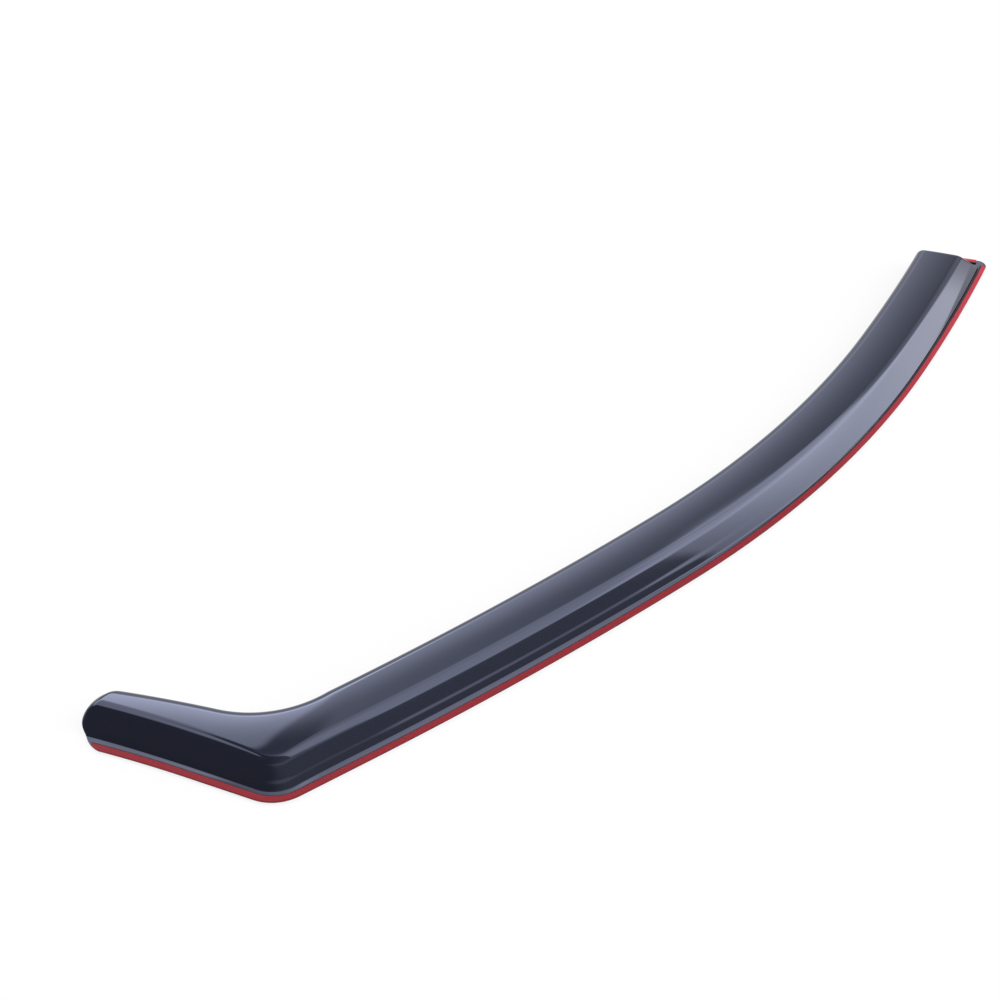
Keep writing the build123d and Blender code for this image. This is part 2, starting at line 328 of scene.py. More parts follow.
def shellSection(foot, width, rear, slant):
    # Closed loop: outer line, round free edge, inner line back to the toe
    within = sectionSize + edgeCount
    outer = hoodLine(*(values[:sectionSize] for values in (foot, width, rear, slant)), 0)
    inner = hoodLine(*(values[within:][::-1] for values in (foot, width, rear, slant)), hood["wall"])
    angle = np.linspace(0, -pi, edgeCount + 2)[1:-1]
    half = hood["wall"] / 2
    edgeX = width[sectionSize:within] - half + half * np.cos(angle)
    edgeZ = hood["height"] - hood["lipDepth"] + half * (1 + np.sin(angle))
    across = np.concatenate([outer[0], edgeX, inner[0][::-1]])
    height = np.concatenate([outer[1], edgeZ, inner[1][::-1]])
    return across, height


def shellRing(runs):
    # One loop of the mesh, each of its points at its own run
    spots = [spotAt(run) for run in runs]
    across, height = shellSection(*np.array([spot[3:] for spot in spots]).T)
    points = [spot[0] + spot[2] * x + up * z for spot, x, z in zip(spots, across, height)]
    return points, across, height


# The leg's end seen from the side, metres
legEndSide = {
    "noseHeight": 0.012,
    "nose": 0.0022,             # how far it stands out at that height
    "above": 0.017,             # height over which it falls back above the nose
    "aboveBack": 0.010,
    "below": 0.010,
    "belowBack": 0.0024,
    "dropFrom": 0.006,          # height from which the top comes down
    "dropOver": 0.020,
}


def legEndAt(across):
    # Distance along the leg to its rounded end, at a distance across
    off = across - (legEndRadius - hood["legEndRelief"])
    return plan["legLength"] - legEndRadius + np.sqrt(np.maximum(legEndRadius ** 2 - off ** 2, 0))


def legEndBulge(height):
    # Seen from the side the hood's end is round, and stands out most at the nose
    above = np.clip((height - legEndSide["noseHeight"]) / legEndSide["above"], 0, 1)
    below = np.clip((legEndSide["noseHeight"] - height) / legEndSide["below"], 0, 1)
    aboveBack = legEndSide["aboveBack"] * (1 - np.sqrt(1 - above ** 2))
    return legEndSide["nose"] - aboveBack - legEndSide["belowBack"] * below ** 2


def legEndDrop(distance, height):
    # How far the hood's top comes down near the leg's end
    radius = hood["legEndRound"]
    back = np.clip(radius - distance, 0, radius)
    raised = np.clip((height - legEndSide["dropFrom"]) / legEndSide["dropOver"], 0, 1)
    return (radius - np.sqrt(radius ** 2 - back ** 2)) * (1 - np.cos(pi * raised)) / 2


# Rear end: a wall that leans back by the step's slope, askew to the arm
rearPoint, rearHeading = edgeAt(armLength)
rearFacing = turned(rearHeading, hood["rearSkew"])
rearInward = turned(rearFacing, 90)
rearNormal = rearFacing * sin(slope) + up * cos(slope)
rearFoot = rearPoint - rearFacing * hood["rearFlange"] + up * hood["flangeThickness"]
rearDown = rearFacing * cos(slope) - up * sin(slope)
rearCornerRun = hood["rearCorner"] / tan(radians(90 - hood["rearSkew"]) / 2)
rearStripEnd = (hood["armWidth"] - hood["lipRadius"]) / cos(radians(hood["rearSkew"]))

# How the hood's mesh is laid out
rings = {
    "leg": 44,
    "corner": 90,
    "arm": 190,
    "rear": 26,
    "rounding": 7,
    "legCrowding": 1.7,         # closer together towards the leg's end
    "rearStretch": 0.110,       # length over which they turn to the rear wall
    "rearGuess": 0.04,          # first guess of the rear wall's place, from the arm's end
}


def rearLimits():
    # Run at which each point of the section meets the rear wall
    runs = np.full(loopSize, armLength - rings["rearGuess"])
    sink = np.where(np.arange(loopSize) < sectionSize, 0.0, hood["wall"])
    for _ in range(6):
        points = shellRing(runs)[0]
        gap = np.array([(point - rearFoot).dot(rearNormal) for point in points]) + sink
        runs = runs - gap / rearNormal.dot(rearHeading)
    return runs, points


def rearRounding():
    # For each point of the outer line: radius, centre and first normal of its rounding into
    # the rear wall, how far it is shifted to meet that, and the run at which the rounding starts
    limits, edgePoints = rearLimits()
    outerLine = hoodLine(*(np.full(sectionSize, value) for value in spotAt(armLength)[3:]), 0)
    inward = turned(rearHeading, 90)
    lipShare = np.clip((np.arange(sectionSize) - slices["lip"].start) / sectionCounts["lip"], 0, 1)
    lowShare = np.clip(np.arange(sectionSize) / (sectionCounts["toe"] + sectionCounts["step"]), 0, 1)
    radii = hood["rearRound"] + (hood["rearLipRound"] - hood["rearRound"]) * lipShare
    radii = radii * (hood["rearToeRound"] + (1 - hood["rearToeRound"]) * lowShare)
    centres, normals, shifts, runs = [], [], [], list(limits)
    for index in range(sectionSize):
        normal = inward * outerLine[2][index] + up * outerLine[3][index]
        centre = edgePoints[index] - (normal + rearNormal) * (radii[index] / (1 + normal.dot(rearNormal)))
        touch = centre + normal * radii[index]
        back = (edgePoints[index] - touch).dot(rearHeading)
        runs[index] = limits[index] - back
        shifts.append(touch - (edgePoints[index] - rearHeading * back))
        centres.append(centre)
        normals.append(normal)
    return radii, centres, normals, shifts, runs


def legLoops():
    found = []
    for number in range(rings["leg"]):
        share = (number / rings["leg"]) ** rings["legCrowding"]
        runs = np.full(loopSize, -plan["cornerSpan"] - plan["legLength"] * (1 - share))
        for _ in range(4):
            points, across, height = shellRing(runs)
            runs = -plan["cornerSpan"] - (legEndAt(across) + legEndBulge(height)) * (1 - share)
        points, across, height = shellRing(runs)
        drops = legEndDrop(legEndAt(across) * share, height)
        found.append([point - up * drop for point, drop in zip(points, drops)])
    return found


def addRearWall(vertices, faces, previous, radii, centres, normals):
    # Rounding strips, then the rear wall as a plate
    for step in range(1, rings["rounding"] + 1):
        current = []
        for index in range(sectionSize):
            normal = normals[index].slerp(rearNormal, step / rings["rounding"])
            current.append(len(vertices))
            vertices.append(centres[index] + normal * radii[index])
        for index in range(sectionSize - 1):
            faces.append((previous[index], previous[index + 1], current[index + 1], current[index]))
        previous = current
    drop = hood["toeSink"]
    lower = []
    for index in (sectionSize - 1, 0):
        point = vertices[previous[index]]
        lower.append(len(vertices))
        vertices.append(point + rearDown * ((point.z - drop) / sin(slope)))
    front = previous + lower
    faces.append(tuple(front))
    rear = []
    for index in front:
        rear.append(len(vertices))
        point = vertices[index] - rearNormal * hood["wall"]
        vertices.append(Vector((point.x, point.y, max(point.z, drop))))
    faces.append(tuple(reversed(rear)))
    for index in range(len(front)):
        other = (index + 1) % len(front)
        faces.append((front[other], front[index], rear[index], rear[other]))


def shellMesh():
    loops, faces = legLoops(), []
    for number in range(rings["corner"]):
        run = -plan["cornerSpan"] * (1 - number / rings["corner"])
        loops.append(shellRing([run] * loopSize)[0])
    rearStart = armLength - rings["rearStretch"]
    for number in range(rings["arm"]):
        loops.append(shellRing([rearStart * number / rings["arm"]] * loopSize)[0])
    radii, centres, normals, shifts, endRuns = rearRounding()
    for number in range(rings["rear"] + 1):
        share = number / rings["rear"]
        points = shellRing([rearStart + (end - rearStart) * share for end in endRuns])[0]
        for index in range(sectionSize):
            points[index] = points[index] + shifts[index] * share ** 3  # mostly in the last rings
        loops.append(points)

    vertices = [point for loop in loops for point in loop]
    for number in range(len(loops) - 1):
        low, high = number * loopSize, (number + 1) * loopSize
        for index in range(loopSize):
            other = (index + 1) % loopSize
            faces.append((low + index, low + other, high + other, high + index))
    for index in range(sectionSize - 1):  # rim of the leg's end
        other = loopSize - 1 - index
        faces.append((index + 1, index, other, other - 1))
    faces.append(tuple(range(sectionSize - 1, sectionSize + edgeCount + 1)))
    last = [(len(loops) - 1) * loopSize + index for index in range(sectionSize)]
    addRearWall(vertices, faces, last, radii, centres, normals)
    return vertices, faces


# Points along the flange's outline, and steps of its rounded edge
flangeCounts = {
    "legEnd": 24,
    "leg": 24,
    "corner": 90,
    "arm": 220,
    "rearCorner": 16,
    "innerArm": 160,
    "innerCorner": 80,
    "innerLeg": 16,
    "edge": 4,
}
innerGap = 0.002                # from the inner corner at the rear to the next point, metres


def legEndRun(across):
    return -plan["cornerSpan"] - float(legEndAt(np.array([across]))[0])


def flangeOutline():
    # Points in plan, each with how far its edge is bevelled (0 where the hood covers it)
    inner = hood["flangeWidth"] + wallAcross - hood["flangeThickness"] / tan(slope)
    legStart, rearTurn = -plan["cornerSpan"], armLength - rearCornerRun
    found = []
    for number in range(flangeCounts["legEnd"]):
        angle = pi / 2 * number / (flangeCounts["legEnd"] - 1)
        across = inner * cos(angle) ** 2
        found.append((edgeAt(legEndRun(across), across)[0], 1.0))
    runs = [*np.linspace(legEndRun(0), legStart, flangeCounts["leg"])[1:],
            *np.linspace(legStart, 0, flangeCounts["corner"])[1:],
            *np.linspace(0, rearTurn, flangeCounts["arm"])[1:]]
    found += [(edgeAt(run)[0], 1.0) for run in runs]

    touch, heading = edgeAt(rearTurn)
    centre = touch + turned(heading, 90) * hood["rearCorner"]
    for number in range(1, flangeCounts["rearCorner"] + 1):
        angle = (90 + hood["rearSkew"]) * number / flangeCounts["rearCorner"]
        found.append((centre + turned(heading, angle - 90) * hood["rearCorner"], 1.0))
    depth, skew = hood["rearFlange"] + wallAcross / 2, radians(hood["rearSkew"])
    found.append((rearPoint + rearInward * rearStripEnd, 1.0))
    found.append((rearPoint + rearInward * rearStripEnd - rearFacing * depth, 0.0))
    innerCorner = rearPoint + rearInward * (inner + depth * sin(skew)) / cos(skew) - rearFacing * depth
    found.append((innerCorner, 0.0))

    back = (rearPoint - innerCorner).dot(rearHeading)
    runs = [*np.linspace(armLength - back - innerGap, 0, flangeCounts["innerArm"]),
            *np.linspace(0, legStart, flangeCounts["innerCorner"])[1:],
            *np.linspace(legStart, legEndRun(inner), flangeCounts["innerLeg"])[1:-1]]
    found += [(edgeAt(run, inner)[0], 0.0) for run in runs]
    return found


def flangeMesh():
    # Also gives the way out of the flange at each point of its outline
    outline = flangeOutline()
    count = len(outline)
    outward = []
    for index in range(count):
        before, after = outline[index - 1][0], outline[(index + 1) % count][0]
        outward.append(turned((after - before).normalized(), -90))
    small = hood["flangeEdgeRound"]
    levels = [(hood["flangeThickness"], small)]
    for step in range(1, flangeCounts["edge"] + 1):
        angle = pi / 2 * step / flangeCounts["edge"]
        levels.append((hood["flangeThickness"] - small * (1 - cos(angle)), small * (1 - sin(angle))))
    levels.append((hood["flangeBevel"], 0.0))
    levels.append((0.0, hood["flangeBevel"]))
    vertices, faces = [], []
    for height, inset in levels:
        for (point, weight), out in zip(outline, outward):
            vertices.append(point - out * (inset * weight) + up * height)
    for level in range(len(levels) - 1):
        low, high = level * count, (level + 1) * count
        for index in range(count):
            other = (index + 1) % count
            faces.append((low + index, high + index, high + other, low + other))
    faces.append(tuple(range(count)))
    faces.append(tuple(reversed(range((len(levels) - 1) * count, len(levels) * count))))
    ways = [out if weight else -out for (point, weight), out in zip(outline, outward)]
    return vertices, faces, ways


def joinedMesh(name, *parts):
    vertices, faces = [], []
    for points, polygons in parts:
        start = len(vertices)
        vertices += points
        faces += [tuple(start + index for index in polygon) for polygon in polygons]
    mesh = bpy.data.meshes.new(name)
    mesh.from_pydata([tuple(point) for point in vertices], [], faces)
    mesh.validate()
    return mesh


def addPiece(name, mesh, material, nodes, smoothAngle=35):
    piece = bpy.data.objects.new(name, mesh)
    scene.collection.objects.link(piece)
    mesh.materials.append(material)
    mesh.polygons.foreach_set("use_smooth", [True] * len(mesh.polygons))
    mesh.update()
    mesh.set_sharp_from_angle(angle=radians(smoothAngle))
    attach(piece, "root")
    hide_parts(*nodes)
    print("piece", name, len(mesh.vertices), "vertices", len(mesh.polygons), "faces")


# Materials
def newMaterial(name):
    material = bpy.data.materials.new(name)
    material.use_nodes = True
    tree = material.node_tree
    return material, tree, tree.nodes["Principled BSDF"]


def addNode(tree, kind, **values):
    node = tree.nodes.new(kind)
    for name, value in values.items():
        setattr(node, name, value)
    return node


# Noise shared by all materials
unevenness = {
    "detail": {"Slow": 2.0, "Fine": 4.0},
    "roughness": 0.55,
    "range": (0.3, 0.7),        # where most of its values lie
}


def unevenGroup():
    # Slow and fine unevenness of a surface
    group = bpy.data.node_groups.new("unevenSurface", "ShaderNodeTree")
    for name in unevenness["detail"]:
        group.interface.new_socket(name=name + " Scale", in_out="INPUT", socket_type="NodeSocketFloat")
        group.interface.new_socket(name=name, in_out="OUTPUT", socket_type="NodeSocketFloat")
    entry, leave = group.nodes.new("NodeGroupInput"), group.nodes.new("NodeGroupOutput")
    place = addNode(group, "ShaderNodeTexCoord")
    for name, detail in unevenness["detail"].items():
        texture = addNode(group, "ShaderNodeTexNoise")
        texture.inputs["Detail"].default_value = detail
        texture.inputs["Roughness"].default_value = unevenness["roughness"]
        group.links.new(place.outputs["Object"], texture.inputs["Vector"])
        group.links.new(entry.outputs[name + " Scale"], texture.inputs["Scale"])
        group.links.new(texture.outputs["Fac"], leave.inputs[name])
    return group


uneven = unevenGroup()


def addUneven(tree, slowScale, fineScale):
    node = addNode(tree, "ShaderNodeGroup", node_tree=uneven)
    node.inputs["Slow Scale"].default_value = slowScale
    node.inputs["Fine Scale"].default_value = fineScale
    return node.outputs["Slow"], node.outputs["Fine"]


def spread(tree, source, low, high, target):
    # Range of an unevenness value fed to a socket
    node = addNode(tree, "ShaderNodeMapRange")
    node.inputs["From Min"].default_value, node.inputs["From Max"].default_value = unevenness["range"]
    node.inputs["To Min"].default_value = low
    node.inputs["To Max"].default_value = high
    tree.links.new(source, node.inputs["Value"])
    tree.links.new(node.outputs["Result"], target)


def spreadColour(tree, source, low, high, target):
    node = addNode(tree, "ShaderNodeMix", data_type="RGBA")
    node.inputs["A"].default_value = (*low, 1)
    node.inputs["B"].default_value = (*high, 1)
    tree.links.new(source, node.inputs["Factor"])
    tree.links.new(node.outputs["Result"], target)


def addBump(tree, shader, source, strength, distance):
    bump = addNode(tree, "ShaderNodeBump")
    bump.inputs["Strength"].default_value = strength
    bump.inputs["Distance"].default_value = distance
    tree.links.new(source, bump.inputs["Height"])
    tree.links.new(bump.outputs["Normal"], shader.inputs["Normal"])


# In each finish the scales are those of the slow and fine noise, and bump is strength and distance
smoke = {
    "scales": (9.0, 900.0),
    "colours": ((0.0065, 0.0076, 0.0165), (0.0085, 0.0098, 0.0205)),
    "roughness": (0.035, 0.060),
    "ior": 1.6,
    "specular": 0.95,
    # Painted light: the bluish tint of every reflection stands in for a bluish hue of the studio light, which
    # the panels lack
    "tint": (0.66, 0.715, 1.0, 1),
    "bump": (0.02, 0.00004),
}


def smokePlastic():
    material, tree, shader = newMaterial("smokePlastic")
    slow, fine = addUneven(tree, *smoke["scales"])
    spreadColour(tree, slow, *smoke["colours"], shader.inputs["Base Color"])
    spread(tree, slow, *smoke["roughness"], shader.inputs["Roughness"])
    shader.inputs["IOR"].default_value = smoke["ior"]
    shader.inputs["Specular IOR Level"].default_value = smoke["specular"]
    # painted light: reflections tinted bluish
    shader.inputs["Specular Tint"].default_value = smoke["tint"]
    addBump(tree, shader, fine, *smoke["bump"])
    return material


redFilm = {
    "scales": (60.0, 1400.0),
    "colours": ((0.238, 0.0140, 0.0225), (0.290, 0.0178, 0.0290)),
    # Painted light: a lighter copy of the film's colours, blended in towards the rear end where the film
    # shows more lit
    "paintedLightColours": ((0.440, 0.0320, 0.0560), (0.520, 0.0400, 0.0690)),
    "paintedLightFrom": 0.45,          # metres towards the rear end
    "paintedLightTo": 0.93,
    "roughness": (0.30, 0.42),
    "specular": 0.14,
    "bump": (0.12, 0.0001),
}


def redLiner():
    material, tree, shader = newMaterial("redLiner")
    slow, fine = addUneven(tree, *redFilm["scales"])
    place = addNode(tree, "ShaderNodeTexCoord")
    parts = addNode(tree, "ShaderNodeSeparateXYZ")
    tree.links.new(place.outputs["Object"], parts.inputs["Vector"])
    # painted light: the share of the lighter colours grows towards the rear end
    paintedLight = addNode(tree, "ShaderNodeMapRange", interpolation_type="SMOOTHSTEP")
    paintedLight.inputs["From Min"].default_value = redFilm["paintedLightFrom"]
    paintedLight.inputs["From Max"].default_value = redFilm["paintedLightTo"]
    tree.links.new(parts.outputs["X"], paintedLight.inputs["Value"])
    mixed = addNode(tree, "ShaderNodeMix", data_type="RGBA")
    spreadColour(tree, slow, *redFilm["colours"], mixed.inputs["A"])
    spreadColour(tree, slow, *redFilm["paintedLightColours"], mixed.inputs["B"])
    tree.links.new(paintedLight.outputs["Result"], mixed.inputs["Factor"])
    tree.links.new(mixed.outputs["Result"], shader.inputs["Base Color"])
    spread(tree, slow, *redFilm["roughness"], shader.inputs["Roughness"])
    shader.inputs["Specular IOR Level"].default_value = redFilm["specular"]
    addBump(tree, shader, fine, *redFilm["bump"])
    return material


foam = {
    "scales": (120.0, 2600.0),
    "colours": ((0.010, 0.010, 0.012), (0.030, 0.030, 0.034)),
    "roughness": (0.80, 0.95),
    "bump": (0.6, 0.0002),
}


def darkFoam():
    material, tree, shader = newMaterial("darkFoam")
    slow, fine = addUneven(tree, *foam["scales"])
    spreadColour(tree, fine, *foam["colours"], shader.inputs["Base Color"])
    spread(tree, slow, *foam["roughness"], shader.inputs["Roughness"])
    addBump(tree, shader, fine, *foam["bump"])
    return material


*flangeParts, flangeWays = flangeMesh()
visorMesh = joinedMesh("visorMoulding", shellMesh(), flangeParts)
addPiece("visorMoulding", visorMesh, smokePlastic(), ["visor"])

# The flange's face leans a little: towards the corner on the leg, outwards near the rear end
flangeLean = {
    "leg": 0.08,
    "legFrom": -0.05,           # metres along the frame
    "legOver": 0.05,
    "rear": 0.14,
    "rearFrom": 0.45,
    "rearOver": 0.3,
}
sameWay = 0.99                  # cosine of the angle between faces that look one way


def largeFace(facing):
    alike = (face for face in visorMesh.polygons if face.normal.dot(facing) > sameWay)
    return max(alike, key=lambda face: len(face.vertices))


def leanAt(place, way):
    onLeg = min(1, max(0, (flangeLean["legFrom"] - place) / flangeLean["legOver"]))
    nearRear = min(1, max(0, (place - flangeLean["rearFrom"]) / flangeLean["rearOver"]))
    return turned(way, 90) * (flangeLean["leg"] * onLeg) + way * (flangeLean["rear"] * nearRear)


cornerNormals = [(0, 0, 0)] * len(visorMesh.loops)
flangeFace = largeFace(up)
for loop, index, way in zip(flangeFace.loop_indices, flangeFace.vertices, flangeWays):
    lean = leanAt(visorMesh.vertices[index].co.x, way)
    cornerNormals[loop] = tuple((up + lean).normalized())
for facing in (rearNormal, -rearNormal):  # the rear wall is flat right up to its rounded edge
    for loop in largeFace(facing).loop_indices:
        cornerNormals[loop] = tuple(facing)
visorMesh.normals_split_custom_set(cornerNormals)

# Tape strips on the flange, metres
tape = {
    "width": 0.00635,
    "thickness": 0.0008,
    "legMargin": 0.012,         # bare flange at the leg's end
    "rearMargin": 0.002,
    "foamBulge": 0.00006,
    "foamEdge": 0.002,
    "linerThickness": 0.00015,
    "linerOverhang": 0.0002,
    "linerInset": 0.0007,       # foam left bare beside the film
    "rearLinerInset": 0.0017,
    "bareFrom": 0.34,           # where along the run more of it is left bare
    "bareOver": 0.36,
    "linerDroop": 0.0006,       # the film's outer edge hangs down over the foam
    "droopFlare": 0.00005,      # and stands off a little
    "crease": 0.0002,           # its bend over the foam's edge: middle, end, end inside
    "bend": 0.0006,
    "innerBend": 0.0007,
    "bendShare": 0.4,           # of the droop and the thickness, next to the crease
    "tipShare": 0.8,            # of the thickness, at the hanging edge
    "ripple": 0.00018,          # how uneven the film was cut
    "foamRipple": 0.4,          # shares of that for the foam and the film's outer edge
    "outerRipple": 0.8,
    "lift": 0.00005,
    "rearRun": 2.0,             # keeps the short strip's unevenness apart from the long one's
}
waves = {
    "slow": 70,                 # per metre
    "fine": 210,
    "fineShare": 0.5,
    "fineSeed": 7,
    "foamSeed": 3,
    "innerSeed": 5,
    "liftSeed": 11,
    "outerSeed": 17,
}
stripCounts = {"leg": 40, "long": 520, "rear": 40, "filmSteps": 7}


def waviness(run, seed):
    slow = noise.noise(Vector((run * waves["slow"], seed, 0)))
    fine = noise.noise(Vector((run * waves["fine"], seed + waves["fineSeed"], 0)))
    return slow + waves["fineShare"] * fine


def foamSection(run):
    base, top = hood["flangeThickness"], hood["flangeThickness"] + tape["thickness"]
    bulge, edge, middle = tape["foamBulge"], tape["foamEdge"], (base + top) / 2
    right = tape["width"] + tape["foamRipple"] * tape["ripple"] * waviness(run, waves["foamSeed"])
    return [(0.0, base), (-bulge, middle), (0.0, top), (edge, top),
            (right - edge, top), (right, top), (right + bulge, middle), (right, base)]


def linerSection(run):
    base = hood["flangeThickness"] + tape["thickness"]
    thick, droop, bend = tape["linerThickness"], tape["linerDroop"], tape["bend"]
    lift = tape["lift"] * (1 + waviness(run, waves["liftSeed"]))
    outerRipple = tape["outerRipple"] * tape["ripple"] * (1 + waviness(run, waves["outerSeed"]))
    left = -tape["linerOverhang"] + outerRipple
    rearward = min(1, max(0, (run - tape["bareFrom"]) / tape["bareOver"]))
    bare = tape["linerInset"] + (tape["rearLinerInset"] - tape["linerInset"]) * rearward
    right = tape["width"] - bare + tape["ripple"] * waviness(run, waves["innerSeed"])
    hang = base - tape["bendShare"] * droop
    upper = [(left - tape["droopFlare"], base - droop), (left, hang),
             (left + tape["crease"], base + tape["bendShare"] * thick), (left + bend, base + thick)]
    for step in range(1, stripCounts["filmSteps"] + 1):
        share = step / stripCounts["filmSteps"]
        upper.append((left + bend + (right - left - bend) * share, base + thick + lift * sin(pi * share)))
    lower = [(right, base), (left + tape["innerBend"], base), (left + thick, hang),
             (left + tape["tipShare"] * thick, base - droop)]
    return upper + lower


def sweepStrip(places, section):
    # places: run for the unevenness, and a function from a distance across to a point
    rows = [[pointAt(x) + up * z for x, z in section(run)] for run, pointAt in places]
    vertices, faces = [point for row in rows for point in row], []
    count = len(rows[0])
    for number in range(len(rows) - 1):
        low, high = number * count, (number + 1) * count
        for index in range(count):
            other = (index + 1) % count
            faces.append((low + other, low + index, high + index, high + other))
    faces.append(tuple(range(count)))
    faces.append(tuple(reversed(range(len(vertices) - count, len(vertices)))))
    return vertices, faces


def legPoint(share, across):
    # The strip starts along the leg's rounded end
    start = min(float(legEndAt(np.array([max(across, 0.0)]))[0]), plan["legLength"] - tape["legMargin"])
    return edgeAt(-plan["cornerSpan"] - start * (1 - share), across)[0]


def straightPoint(point, direction, across):
    return point + direction * across


def longPlaces():
    found = []
    for number in range(stripCounts["leg"]):
        share = number / stripCounts["leg"]
        found.append((-plan["cornerSpan"] - plan["legLength"] * (1 - share), partial(legPoint, share)))
    for run in np.linspace(-plan["cornerSpan"], armLength - rearCornerRun, stripCounts["long"]):
        point, deep = edgeAt(run)[0], edgeAt(run, tape["width"])[0]
        found.append((run, partial(straightPoint, point, (deep - point) / tape["width"])))
    return found


def rearPlaces():
    first, last = rearCornerRun + tape["rearMargin"], rearStripEnd - tape["rearMargin"]
    return [(tape["rearRun"] + along, partial(straightPoint, rearPoint + rearInward * along, -rearFacing))
            for along in np.linspace(first, last, stripCounts["rear"])]


linerMaterial, foamMaterial = redLiner(), darkFoam()
for name, node, places, section, material, slot in (
        ("longFoam", "long_tape", longPlaces(), foamSection, foamMaterial, "foam"),
        ("longLiner", "long_tape_liner", longPlaces(), linerSection, linerMaterial, "red_film"),
        ("rearFoam", "rear_tape", rearPlaces(), foamSection, foamMaterial, "foam"),
        ("rearLiner", "rear_tape_liner", rearPlaces(), linerSection, linerMaterial, "red_film")):
    addPiece(name, joinedMesh(name, sweepStrip(places, section)), material, [node], smoothAngle=50)

# Floor
paper = {
    "half": 6.0,                # metres
    "scales": (3.0, 400.0),
    "colours": ((0.86, 0.86, 0.86), (0.88, 0.88, 0.88)),
    "roughness": (0.85, 0.95),
    "bump": (0.05, 0.0001),
    "whiteShare": 0.82,         # the rest is the shaded paper
}
floorMesh = bpy.data.meshes.new("floor")
floorCorners = [(x * paper["half"], y * paper["half"], 0) for x, y in ((-1, -1), (1, -1), (1, 1), (-1, 1))]
floorMesh.from_pydata(floorCorners, [], [(0, 1, 2, 3)])
floor = bpy.data.objects.new("floor", floorMesh)
scene.collection.objects.link(floor)


def floorPaper():
    # White paper that shows as white to the eye and in mirrors, and still takes the shadow
    material, tree, shader = newMaterial("floorPaper")
    slow, fine = addUneven(tree, *paper["scales"])
    spreadColour(tree, slow, *paper["colours"], shader.inputs["Base Color"])
    spread(tree, slow, *paper["roughness"], shader.inputs["Roughness"])
    addBump(tree, shader, fine, *paper["bump"])
    shader.inputs["Specular IOR Level"].default_value = 0.0
    path = addNode(tree, "ShaderNodeLightPath")
    seen = path.outputs["Is Camera Ray"]
    for kind in ("Is Glossy Ray", "Is Transmission Ray"):
        either = addNode(tree, "ShaderNodeMath", operation="MAXIMUM")
        tree.links.new(seen, either.inputs[0])
        tree.links.new(path.outputs[kind], either.inputs[1])
        seen = either.outputs["Value"]
    share = addNode(tree, "ShaderNodeMath", operation="MULTIPLY")
    share.inputs[1].default_value = paper["whiteShare"]
    tree.links.new(seen, share.inputs[0])
    glow = addNode(tree, "ShaderNodeEmission")
    glow.inputs["Strength"].default_value = 1.0
    mixed = addNode(tree, "ShaderNodeMixShader")
    tree.links.new(share.outputs["Value"], mixed.inputs["Fac"])
    tree.links.new(shader.outputs["BSDF"], mixed.inputs[1])
    tree.links.new(glow.outputs["Emission"], mixed.inputs[2])
    tree.links.new(mixed.outputs["Shader"], tree.nodes["Material Output"].inputs["Surface"])
    return material


floorMesh.materials.append(floorPaper())
print("floor laid")

# Camera at the photo's view, metres, degrees and millimetres
view = {
    "target": (0.2685, 0.1671, 0.002),
    "azimuth": 36.7,
    "elevation": 47.0,
    "distance": 1.460,
    "lens": 54.0,
    "sensor": 36.0,
}
elevation = radians(view["elevation"])
towards = turned(Vector((0, cos(elevation), 0)), -view["azimuth"]) - up * sin(elevation)
cameraData = bpy.data.cameras.new("photoView")
cameraData.lens = view["lens"]
cameraData.sensor_width = view["sensor"]
camera = bpy.data.objects.new("photoView", cameraData)
camera.location = Vector(view["target"]) - towards * view["distance"]
camera.rotation_euler = towards.to_track_quat("-Z", "Y").to_euler()
scene.collection.objects.link(camera)
scene.camera = camera
print("camera at", [round(value, 4) for value in camera.location])

# Studio light: soft panels in the sky. Each edge is (bearing from the view, pitch, offset, softness)
leftBox = {
    "strength": 1.30,
    "right": (-85.9, -10.2, 0.0, 0.010),
    "high": (-80.0, -84.0, -0.887, 0.010),
    "front": (-20.1, 6.1, 0.0, 0.06),
    "top": (173.3, 41.8, 0.0, 0.05),
    "far": (85.4, 50.6, 0.0, 0.05),
}
leftCore = {
    "strength": 2.3,
    "right": (-85.9, -10.2, 0.0, 0.010),
    "near": (-40.7, -28.7, 0.10, 0.09),
    "low": (0.0, 90.0, 0.66, 0.06),
}
rightBox = {
    "strength": 0.95,
    "inner": (61.7, -28.6, 0.0, 0.03),
    "high": (36.8, -22.7, 0.0, 0.07),
    "front": (14.0, 45.0, 0.0, 0.02),
    "away": (153.6, -6.2, 0.0, 0.03),
}
rightTip = {
    "strength": 1.24,
    "inner": (61.7, -28.6, 0.0, 0.03),
    "top": (-164.8, 38.6, 0.0, 0.04),
    "end": (137.9, 18.0, 0.0, 0.04),
    "near": (-12.7, -7.0, 0.0, 0.03),
}
rightGlow = {
    "strength": 2.08,
    "round": (77.1, 11.6, 0.945, 0.128),
    "away": (157.0, -2.4, 0.0, 0.03),
}
backWall = {
    "strength": 1.7,
    "top": (-19.2, -33.9, -0.05, 0.16),
    "right": (-61.4, -8.3, 0.017, 0.205),
    "low": (0.0, 90.0, 0.50, 0.20),
    "left": (70.0, 0.0, 0.0, 0.16),
}
backCore = {
    "strength": 0.7,
    "near": (-40.7, -28.7, 0.02, 0.10),
    "right": (-75.0, 0.0, 0.0, 0.15),
    "low": (0.0, 90.0, 0.60, 0.12),
}
backLow = {
    "strength": 0.85,
    "facing": (-20.0, 0.0, 0.30, 0.30),
    "top": (0.0, -90.0, -0.50, 0.16),
}
crownFill = {
    "strength": 0.50,
    "left": (83.0, 0.0, 0.0, 0.02),
    "right": (-30.0, 0.0, 0.0, 0.10),
    "low": (0.0, 90.0, 0.868, 0.045),
    "top": (0.0, -90.0, -0.97, 0.015),
}
overGlow = {
    "strength": 1.5,
    "round": (120.8, 48.7, 0.724, 0.318),
    "front": (43.0, 3.0, 0.0, 0.025),
    "low": (0.0, 90.0, 0.20, 0.08),
}
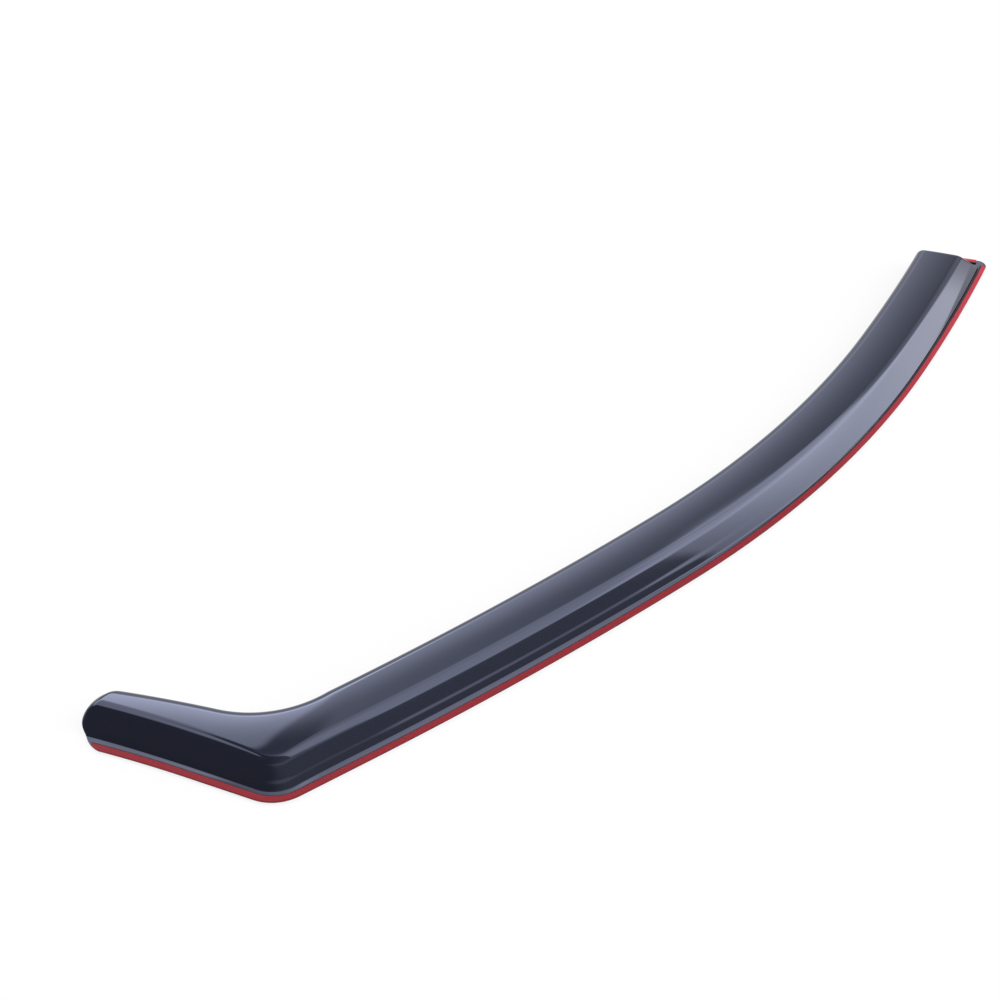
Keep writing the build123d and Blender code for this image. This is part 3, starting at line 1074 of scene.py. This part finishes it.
frontBand = {
    "strength": 0.30,
    "low": (0.0, 90.0, 0.21, 0.05),
    "top": (0.0, -90.0, -0.52, 0.12),
    "front": (180.0, 0.0, -0.3, 0.3),
    "side": (110.0, 0.0, 0.2, 0.3),
}
frontFill = {
    "strength": 0.18,
    "side": (90.0, 0.0, 0.1, 0.35),
}
panels = (leftBox, leftCore, rightBox, rightTip, rightGlow, backWall,
          backCore, backLow, crownFill, overGlow, frontBand, frontFill)
ambient = 0.13


def panelLight(tree, direction, panel):
    # Strength times a soft step across each edge
    light = None
    for bearing, pitch, offset, softness in (edge for name, edge in panel.items() if name != "strength"):
        level = Vector((sin(radians(bearing)), cos(radians(bearing)), 0))
        facing = level * cos(radians(pitch)) + up * sin(radians(pitch))
        dot = addNode(tree, "ShaderNodeVectorMath", operation="DOT_PRODUCT")
        dot.inputs[1].default_value = turned(facing, -view["azimuth"])
        tree.links.new(direction, dot.inputs[0])
        step = addNode(tree, "ShaderNodeMapRange", interpolation_type="SMOOTHSTEP")
        step.inputs["From Min"].default_value = offset - softness
        step.inputs["From Max"].default_value = offset + softness
        tree.links.new(dot.outputs["Value"], step.inputs["Value"])
        if light is None:
            step.inputs["To Max"].default_value = panel["strength"]
            light = step.outputs["Result"]
        else:
            both = addNode(tree, "ShaderNodeMath", operation="MULTIPLY")
            tree.links.new(light, both.inputs[0])
            tree.links.new(step.outputs["Result"], both.inputs[1])
            light = both.outputs["Value"]
    return light


def studioWorld():
    world = bpy.data.worlds.new("studio")
    scene.world = world
    world.use_nodes = True
    tree = world.node_tree
    direction = addNode(tree, "ShaderNodeTexCoord").outputs["Generated"]
    total = None
    for panel in panels:
        light = panelLight(tree, direction, panel)
        more = addNode(tree, "ShaderNodeMath", operation="ADD")
        more.inputs[0].default_value = ambient  # under the first panel
        if total is not None:
            tree.links.new(total, more.inputs[0])
        tree.links.new(light, more.inputs[1])
        total = more.outputs["Value"]
    tree.links.new(total, tree.nodes["Background"].inputs["Strength"])
    tree.nodes["Background"].inputs["Color"].default_value = (1, 1, 1, 1)


studioWorld()
print("studio light set")
